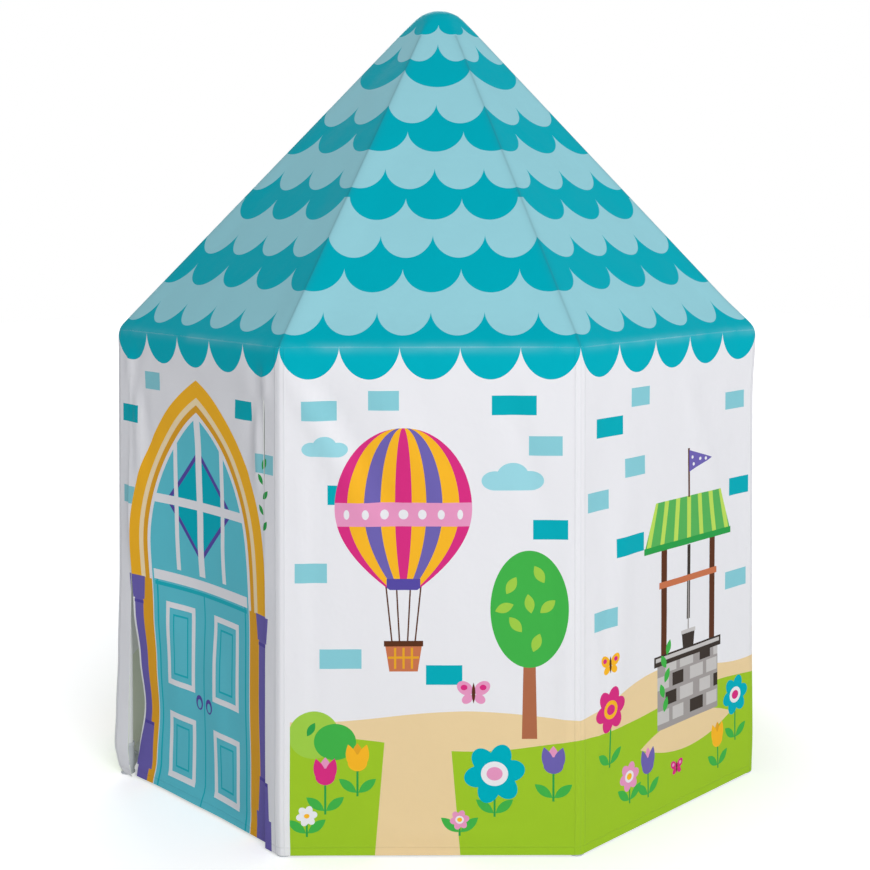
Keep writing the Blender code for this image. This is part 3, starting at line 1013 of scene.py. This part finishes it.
def door_place(wall, share, down):
    """The hanging door, from its hinge down: a little narrow halfway, with its left edge curled in."""
    top = hinge_height - door_gap
    height = top - (top - door_foot) * down
    across = share * (slit_out - door_clearance - door_waist * sin(pi * down))
    free = smooth(0, 0.12, down)
    outward = wall_give(0, across / half_wall, hinge_height) * (1 - free)
    outward += (ripples(0, across, height, door_waves) - door_sag(across, height)) * free
    outward += folds(door_creases, across, height)
    curl = smooth(-0.45, -1.0, share) ** 2 * exp(-((height - curl_height) / curl_spread) ** 2)
    across += curl_reach * curl
    return placed(wall, apothem + outward, across, height), (share * slit_out, height)


door_columns = [sin(pi / 2 * k / 18) for k in range(-18, 19)]
door_rows = [1 - k / 66 for k in range(67)]
door_sheet = sewn("door_sheet", [sheet_grid(0, door_columns, door_rows, door_place)], [door_print],
                  wall_back)

# The frame under the cover, on the centre lines of the solids
axis_inset = 0.0125
frame_corner = (apothem - axis_inset) / cos(half_turn)
frame_apex = Vector((0, 0, ridge_apex - axis_inset / cos(slope)))
frame_eave = frame_apex.z - frame_corner * tan(slope) * cos(half_turn)
frame_base = 0.0115
tube_radius = 0.008
tube_wall = 0.0012
socket_outer = 0.0101
socket_bore = 0.0083
socket_stop = 0.0145
socket_depth = 0.025
tube_fit = 0.0003
round_steps = 28


def corner_point(index, height):
    angle = wall_angle(index) + half_turn
    return Vector((frame_corner * cos(angle), frame_corner * sin(angle), height))


def spun(outline, start, direction, steps=round_steps):
    """Spins an outline of (radius, distance) pairs a full turn about an axis."""
    bm = bmesh.new()
    verts = [bm.verts.new((radius, 0, along)) for radius, along in outline]
    edges = [bm.edges.new(pair) for pair in zip(verts, verts[1:])]
    bmesh.ops.spin(bm, geom=verts + edges, cent=(0, 0, 0), axis=(0, 0, 1), angle=tau, steps=steps,
                   use_merge=True)
    bmesh.ops.remove_doubles(bm, verts=bm.verts, dist=1e-6)
    bmesh.ops.recalc_face_normals(bm, faces=bm.faces)
    turn = Vector(direction).to_track_quat("Z", "Y").to_matrix().to_4x4()
    bmesh.ops.transform(bm, matrix=Matrix.Translation(start) @ turn, verts=bm.verts)
    return bm


def frame_piece(name, parts, material, replaced):
    """Puts closed shells together as one piece of the frame, shaded smooth up to 40 degrees."""
    whole = put_together(name, parts)
    for face in whole.faces:
        face.smooth = True
    obj = made_object(name, whole, [material])
    obj.data.set_sharp_from_angle(angle=radians(40))
    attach(obj, "frame")
    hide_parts(*replaced)


def tube(start, end):
    """An open tube between two points, with softened ends."""
    length = (end - start).length
    soft = 0.0003
    inner = tube_radius - tube_wall
    outline = [(inner, soft), (inner + soft, 0), (tube_radius - soft, 0), (tube_radius, soft),
               (tube_radius, length - soft), (tube_radius - soft, length), (inner + soft, length),
               (inner, length - soft), (inner, soft)]
    return spun(outline, start, end - start)


def corner_tube(start, end):
    """A tube that stops inside the sockets at both corners."""
    along = (end - start).normalized() * (socket_stop + tube_fit)
    return tube(start + along, end - along)


def socket_outline(stop):
    """The outside and bore of a socket: a waist behind a beaded mouth, and a bore down to its stop."""
    mouth = stop + socket_depth
    waist = socket_outer - 0.0007
    bead = socket_outer + 0.0004
    return [(socket_outer, stop + 0.0020), (waist, stop + 0.0040), (waist, mouth - 0.0065),
            (bead, mouth - 0.0055), (bead, mouth - 0.0015), (bead - 0.0008, mouth - 0.0003),
            (socket_bore + 0.0005, mouth - 0.0003), (socket_bore, mouth - 0.0012), (socket_bore, stop),
            (0, stop)]


def socket(centre, direction):
    return spun([(0, 0), (socket_outer, 0)] + socket_outline(socket_stop), centre, direction)


def ball(centre):
    bm = bmesh.new()
    bmesh.ops.create_uvsphere(bm, u_segments=round_steps, v_segments=16, radius=socket_outer,
                              matrix=Matrix.Translation(centre))
    return bm


def standing_foot(index):
    """A column with a socket on top and a flanged foot on the floor."""
    flange = 0.0115
    outline = [(0, 0), (flange - 0.0008, 0), (flange, 0.0008), (flange, 0.0022), (socket_outer, 0.0040)]
    return spun(outline + socket_outline(frame_base + socket_stop), corner_point(index, 0), (0, 0, 1))


def numbered(kind, count=sides):
    return [f"{kind}_{n + 1}" for n in range(count)]


def neighbours(index, height):
    here = corner_point(index, height)
    return [(corner_point(index + step, height) - here).normalized() for step in (-1, 1)]


tubes = {"post": [], "eave_rail": [], "base_rail": [], "rafter": []}
elbows = []
feet = []
hub = []
hub_start = 0.046
hub_floor = 0.010
for index in range(sides):
    low = corner_point(index, frame_base)
    high = corner_point(index, frame_eave)
    down = (high - frame_apex).normalized()
    tubes["post"].append(corner_tube(low, high))
    tubes["eave_rail"].append(corner_tube(corner_point(index - 1, frame_eave), high))
    if index:
        tubes["base_rail"].append(corner_tube(corner_point(index - 1, frame_base), low))
    tubes["rafter"].append(tube(high - down * (socket_stop + tube_fit),
                                frame_apex + down * (hub_start + hub_floor + tube_fit)))
    elbows.append(ball(high))
    for direction in neighbours(index, frame_eave) + [Vector((0, 0, -1)), -down]:
        elbows.append(socket(high, direction))
    feet.append(standing_foot(index))
    back, ahead = neighbours(index, frame_base)
    for direction in {0: [ahead], sides - 1: [back]}.get(index, [back, ahead]):
        feet.append(socket(low, direction))
    root = [(0, -0.004), (socket_outer - 0.0009, -0.004), (socket_outer - 0.0004, hub_floor - 0.001)]
    hub.append(spun(root + socket_outline(hub_floor), frame_apex + down * hub_start, down))

# The hub's body: a dome that fills the cap, a grooved skirt, and a recess below
hub_radius = 0.032
hub_height = 0.033
hub_bottom = ridge_apex - hub_radius * tan(slope) * cos(half_turn) - hub_height
hub_dome = [(hub_radius * k / 10, roof_height(hub_radius * k / 10) - 0.0018) for k in range(10)]
hub_edge = roof_height(hub_radius)
hub_skirt = [(hub_radius - 0.0010, hub_edge - 0.0026), (hub_radius, hub_edge - 0.0042)]
hub_skirt += [(radius, hub_bottom + above) for radius, above in (
    (hub_radius, 0.0080), (hub_radius - 0.0012, 0.0070), (hub_radius - 0.0012, 0.0055),
    (hub_radius, 0.0045), (hub_radius, 0.0010), (hub_radius - 0.0010, 0), (hub_radius - 0.0060, 0),
    (hub_radius - 0.0070, 0.0050), (0.008, 0.0050), (0.007, 0.0012), (0, 0.0012))]
hub.append(spun(hub_dome + hub_skirt, (0, 0, 0), (0, 0, 1), steps=48))

for kind, made in tubes.items():
    frame_piece(kind + "_tubes", made, tube_plastic, numbered(kind, len(made)))
for name, made, replaced in (("eave_elbows", elbows, numbered("eave_connector")),
                             ("base_feet", feet, numbered("base_connector")),
                             ("peak_hub", hub, ["top_hub"])):
    frame_piece(name, made, connector_plastic, replaced)

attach(wall_cover, "cover")
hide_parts("wall_skin")
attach(roof_cover, "cover")
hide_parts(*numbered("roof_panel"), "roof_cap")
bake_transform(door_sheet)
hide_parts("door_flap")


# Camera

def heading(turn, rise):
    """The direction at a turn from +X and a rise from level, in degrees."""
    turn = radians(turn)
    rise = radians(rise)
    return Vector((cos(turn) * cos(rise), sin(turn) * cos(rise), sin(rise)))


# The photograph's place: in front of wall 1, a little right of its middle. The lens and the shift are
# in pixels of the photograph.
photo_width = 870
focal_pixels = 1415.4
shift_pixels = (-48.3, -200.9)
front_turn = 45.0
stand_turn = front_turn - 90 + 1.498
look_turn = stand_turn + 180 - 1.776
camera_distance = 2.5303
camera_height = 0.9270
camera_data = bpy.data.cameras.new("camera")
camera_data.sensor_width = 36.0
camera_data.lens = focal_pixels * camera_data.sensor_width / photo_width
camera_data.shift_x = shift_pixels[0] / photo_width
camera_data.shift_y = shift_pixels[1] / photo_width
camera_spot = heading(stand_turn, 0) * camera_distance + Vector((0, 0, camera_height))
bpy.context.scene.camera = placed_object("camera", camera_data, camera_spot, heading(look_turn, -1))


# Floor, background and lamps

def seen_directly(tree):
    """1 for what the camera sees straight, in a reflection or through something clear."""
    path = add(tree, "LightPath").node.outputs
    seen = add(tree, "MAXIMUM", [path["Is Camera Ray"], path["Is Glossy Ray"]])
    return add(tree, "MAXIMUM", [seen, path["Is Transmission Ray"]])


bm = bmesh.new()
bmesh.ops.create_grid(bm, x_segments=1, y_segments=1, size=9)
floor_material, tree = new_material("matt white studio floor")
shader = tree.nodes["Principled BSDF"]
feed(shader, {"Base Color": linear("#F2F2F2"), "Roughness": 0.9, "Specular IOR Level": 0.1})

# The floor glows more the further it lies from the tent, so that only the shadow by the tent shows
away = add(tree, "VectorMath", [add(tree, "TexCoord", out="Object")], operation="LENGTH", out=1)
spread = add(tree, "MapRange", [away, 0.5, 2.2, 0.42, 0.85])
glow_level = add(tree, "MULTIPLY", [seen_directly(tree), spread])
glow = add(tree, "Emission", {"Color": (1, 1, 1, 1), "Strength": glow_level})
feed(tree.nodes["Material Output"], [add(tree, "AddShader", [shader.outputs[0], glow])])
floor = made_object("floor", bm, [floor_material])

world = bpy.data.worlds.new("studio")
bpy.context.scene.world = world
world.use_nodes = True
tree = world.node_tree
ambient = 0.34
seen = seen_directly(tree)
tint = add(tree, "Mix", {0: seen, 6: (0.90, 0.94, 1, 1), 7: (1, 1, 1, 1)}, data_type="RGBA", out=2)
level = add(tree, "MapRange", [seen, 0.0, 1.0, ambient, 1.0])
feed(tree.nodes["Background"], [tint, level])


def softbox(name, away, size, power):
    """A square lamp that looks at the middle of the tent."""
    data = bpy.data.lights.new(name, "AREA")
    data.size = size
    data.energy = power
    tent_middle = Vector((0, 0, 0.6))
    distance = 7.0
    placed_object(name, data, tent_middle + away * distance, -away)


softbox("key", heading(-25, 22), 3.4, 286)
softbox("fill", heading(150, 25), 4.0, 150)

bpy.context.scene.view_settings.view_transform = "Standard"
